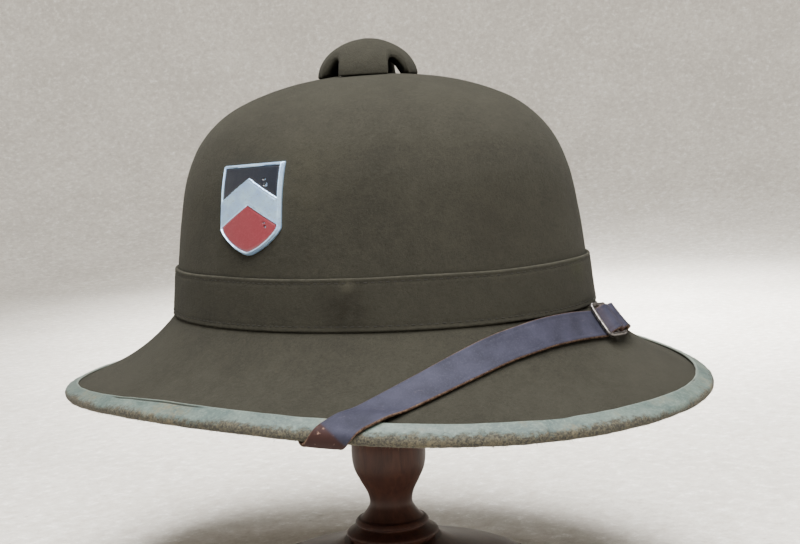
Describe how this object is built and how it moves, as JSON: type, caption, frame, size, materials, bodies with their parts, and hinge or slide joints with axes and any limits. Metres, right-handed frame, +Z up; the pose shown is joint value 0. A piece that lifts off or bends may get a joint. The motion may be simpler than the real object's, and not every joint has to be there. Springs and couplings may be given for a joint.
{
  "type": "pith helmet on a hat stand",
  "caption": "Felt sun helmet with a bound sloping brim, vent cap, shield badge and leather chin strap, on a turned wooden hat stand.",
  "frame": {"origin": "centre of the hat stand's flat underside", "axes": "+Z up along the stand's column and the crown's middle, -Y towards the front of the helmet, -X towards its wearer's right, where the badge is"},
  "size_m": [0.2678, 0.3216, 0.2636],
  "materials": {
    "felt": "matt olive-brown wool felt with a short nap",
    "binding_leather": "worn grey-green leather, fuzzy and tan where it rubs",
    "strap_leather": "smooth dark brown leather with raw reddish edges",
    "dark_steel": "dark painted steel, bright where it is worn",
    "silvered_metal": "silvered sheet with a fine grain",
    "dark_enamel": "near-black enamel, chipped",
    "red_enamel": "red enamel, chipped",
    "stand_wood": "dark red-brown stained and polished hardwood"
  },
  "bodies": {
    "root": {"felt_body": "felt", "hat_band": "felt", "vent_cap": "felt", "brim_binding": "binding_leather", "strap_long": "strap_leather", "strap_short": "strap_leather", "buckle_frame": "dark_steel", "vent_post": "dark_steel", "strap_stud_right": "dark_steel", "strap_stud_left": "dark_steel", "shield_plate": "silvered_metal", "shield_field_dark": "dark_enamel", "shield_field_red": "red_enamel", "stand_head": "stand_wood", "stand_column": "stand_wood", "stand_base": "stand_wood"}
  },
  "joints": []
}
